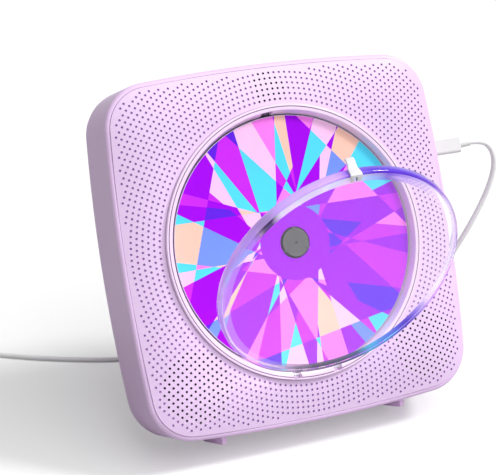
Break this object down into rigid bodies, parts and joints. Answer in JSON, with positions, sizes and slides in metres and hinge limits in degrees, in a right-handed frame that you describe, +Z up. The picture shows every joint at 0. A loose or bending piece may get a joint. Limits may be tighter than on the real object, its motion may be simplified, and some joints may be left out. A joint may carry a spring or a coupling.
{
  "type": "compact disc player",
  "caption": "Square pillow-shaped disc player leaning back on two fins and a folding stand, with perforated front, open disc well, hinged round clear cover and a power lead.",
  "frame": {"origin": "on the table, under the middle of the player without its lead", "axes": "+X to the right seen from the front, +Y to the back, +Z up; the face leans back by 22.7 degrees"},
  "size_m": [0.362, 0.2235, 0.1719],
  "materials": {
    "case": "satin",
    "grille": "satin",
    "ring": "smooth satin",
    "well": "moulded",
    "fins": "satin",
    "stand": "satin",
    "rubber": "matte",
    "clear": "clear acrylic",
    "white": "smooth",
    "disc": "printed polycarbonate",
    "grey": "moulded",
    "black": "moulded",
    "steel": "plated",
    "chrome": "polished",
    "brass": "turned",
    "nylon": "moulded",
    "lens": "coated",
    "board": "solder mask",
    "aluminium": "can",
    "paper": "pressed",
    "cloth": "open weave",
    "cord": "soft PVC"
  },
  "bodies": {
    "case": {"front_shell": "case", "rear_cover": "case", "grille_panel": "grille", "well_ring": "ring", "disc_well": "well", "foot_fins": "fins", "stand_hinge_pin": "steel", "lid_hinge_pins": "steel", "spindle_motor": "steel", "mechanism_chassis": "steel", "rubber_dampers": "rubber", "damper_screws": "steel", "guide_rods": "chrome", "sled_motor": "steel", "left_speaker_frame": "black", "right_speaker_frame": "black", "left_speaker_cone": "paper", "right_speaker_cone": "paper", "left_speaker_magnet": "steel", "right_speaker_magnet": "steel", "speaker_cloths": "cloth", "main_board": "board", "board_screws": "steel", "processor": "black", "capacitors": "aluminium", "display_module": "black", "ir_receiver": "black", "button_board": "board", "tact_switches": "black", "usb_c_socket": "steel", "aux_socket": "black", "case_screws": "steel", "well_screws": "steel", "power_plug": "cord", "plug_shell": "chrome", "strain_relief": "cord", "power_cord": "cord", "cord_coil": "cord", "cord_tail": "cord", "far_plug": "cord", "far_plug_shell": "chrome"},
    "lid": {"dust_cover": "clear", "lid_clip": "white"},
    "disc_rotor": {"compact_disc": "disc", "turntable": "black", "hub_cap": "grey", "clamp_balls": "steel", "spindle_shaft": "steel"},
    "sled": {"pickup_sled": "black"},
    "lens": {"pickup_lens": "lens"},
    "gear": {"drive_gear": "nylon"},
    "pinion": {"sled_pinion": "brass"},
    "stand": {"stand_leg": "stand", "stand_foot_pad": "rubber"},
    "power_key": {"power_button": "case"},
    "play_key": {"play_button": "case"}
  },
  "joints": [
    {"name": "lid_hinge", "type": "hinge", "parent": "case", "child": "lid", "pos_m": [0, -0.02355, 0.03872], "axis": [1, 0, 0], "range_deg": [-41.8, 0]},
    {"name": "disc_spin", "type": "hinge", "parent": "case", "child": "disc_rotor", "pos_m": [0, -0.00021, 0.0953], "axis": [0, -0.9225, 0.3859], "continuous": true},
    {"name": "sled_slide", "type": "slide", "parent": "case", "child": "sled", "axis": [0, 0.3859, 0.9225], "range_m": [0, 0.033]},
    {"name": "lens_focus", "type": "slide", "parent": "sled", "child": "lens", "axis": [0, -0.9225, 0.3859], "range_m": [-0.0003, 0.0003], "stiffness_N_per_m": 40},
    {"name": "drive_gear_spin", "type": "hinge", "parent": "case", "child": "gear", "pos_m": [0.02524, 0.03037, 0.12695], "axis": [0, -0.9225, 0.3859], "range_deg": [-360, 360]},
    {"name": "sled_pinion_spin", "type": "hinge", "parent": "case", "child": "pinion", "pos_m": [0.03507, 0.02772, 0.1206], "axis": [0, -0.9225, 0.3859], "range_deg": [-1080, 1080]},
    {"name": "stand_fold", "type": "hinge", "parent": "case", "child": "stand", "pos_m": [0, 0.0422, 0.09924], "axis": [1, 0, 0], "range_deg": [-30, 0]},
    {"name": "power_button_press", "type": "slide", "parent": "case", "child": "power_key", "axis": [0, -0.3859, -0.9225], "range_m": [0, 0.0008], "stiffness_N_per_m": 600, "springref_m": -0.0005},
    {"name": "play_button_press", "type": "slide", "parent": "case", "child": "play_key", "axis": [0, -0.3859, -0.9225], "range_m": [0, 0.0008], "stiffness_N_per_m": 600, "springref_m": -0.0005}
  ],
  "couplings": [
    {"joint": "drive_gear_spin", "follows": "sled_slide", "rad_per_m": -178.57},
    {"joint": "sled_pinion_spin", "follows": "sled_slide", "rad_per_m": 535.71}
  ]
}
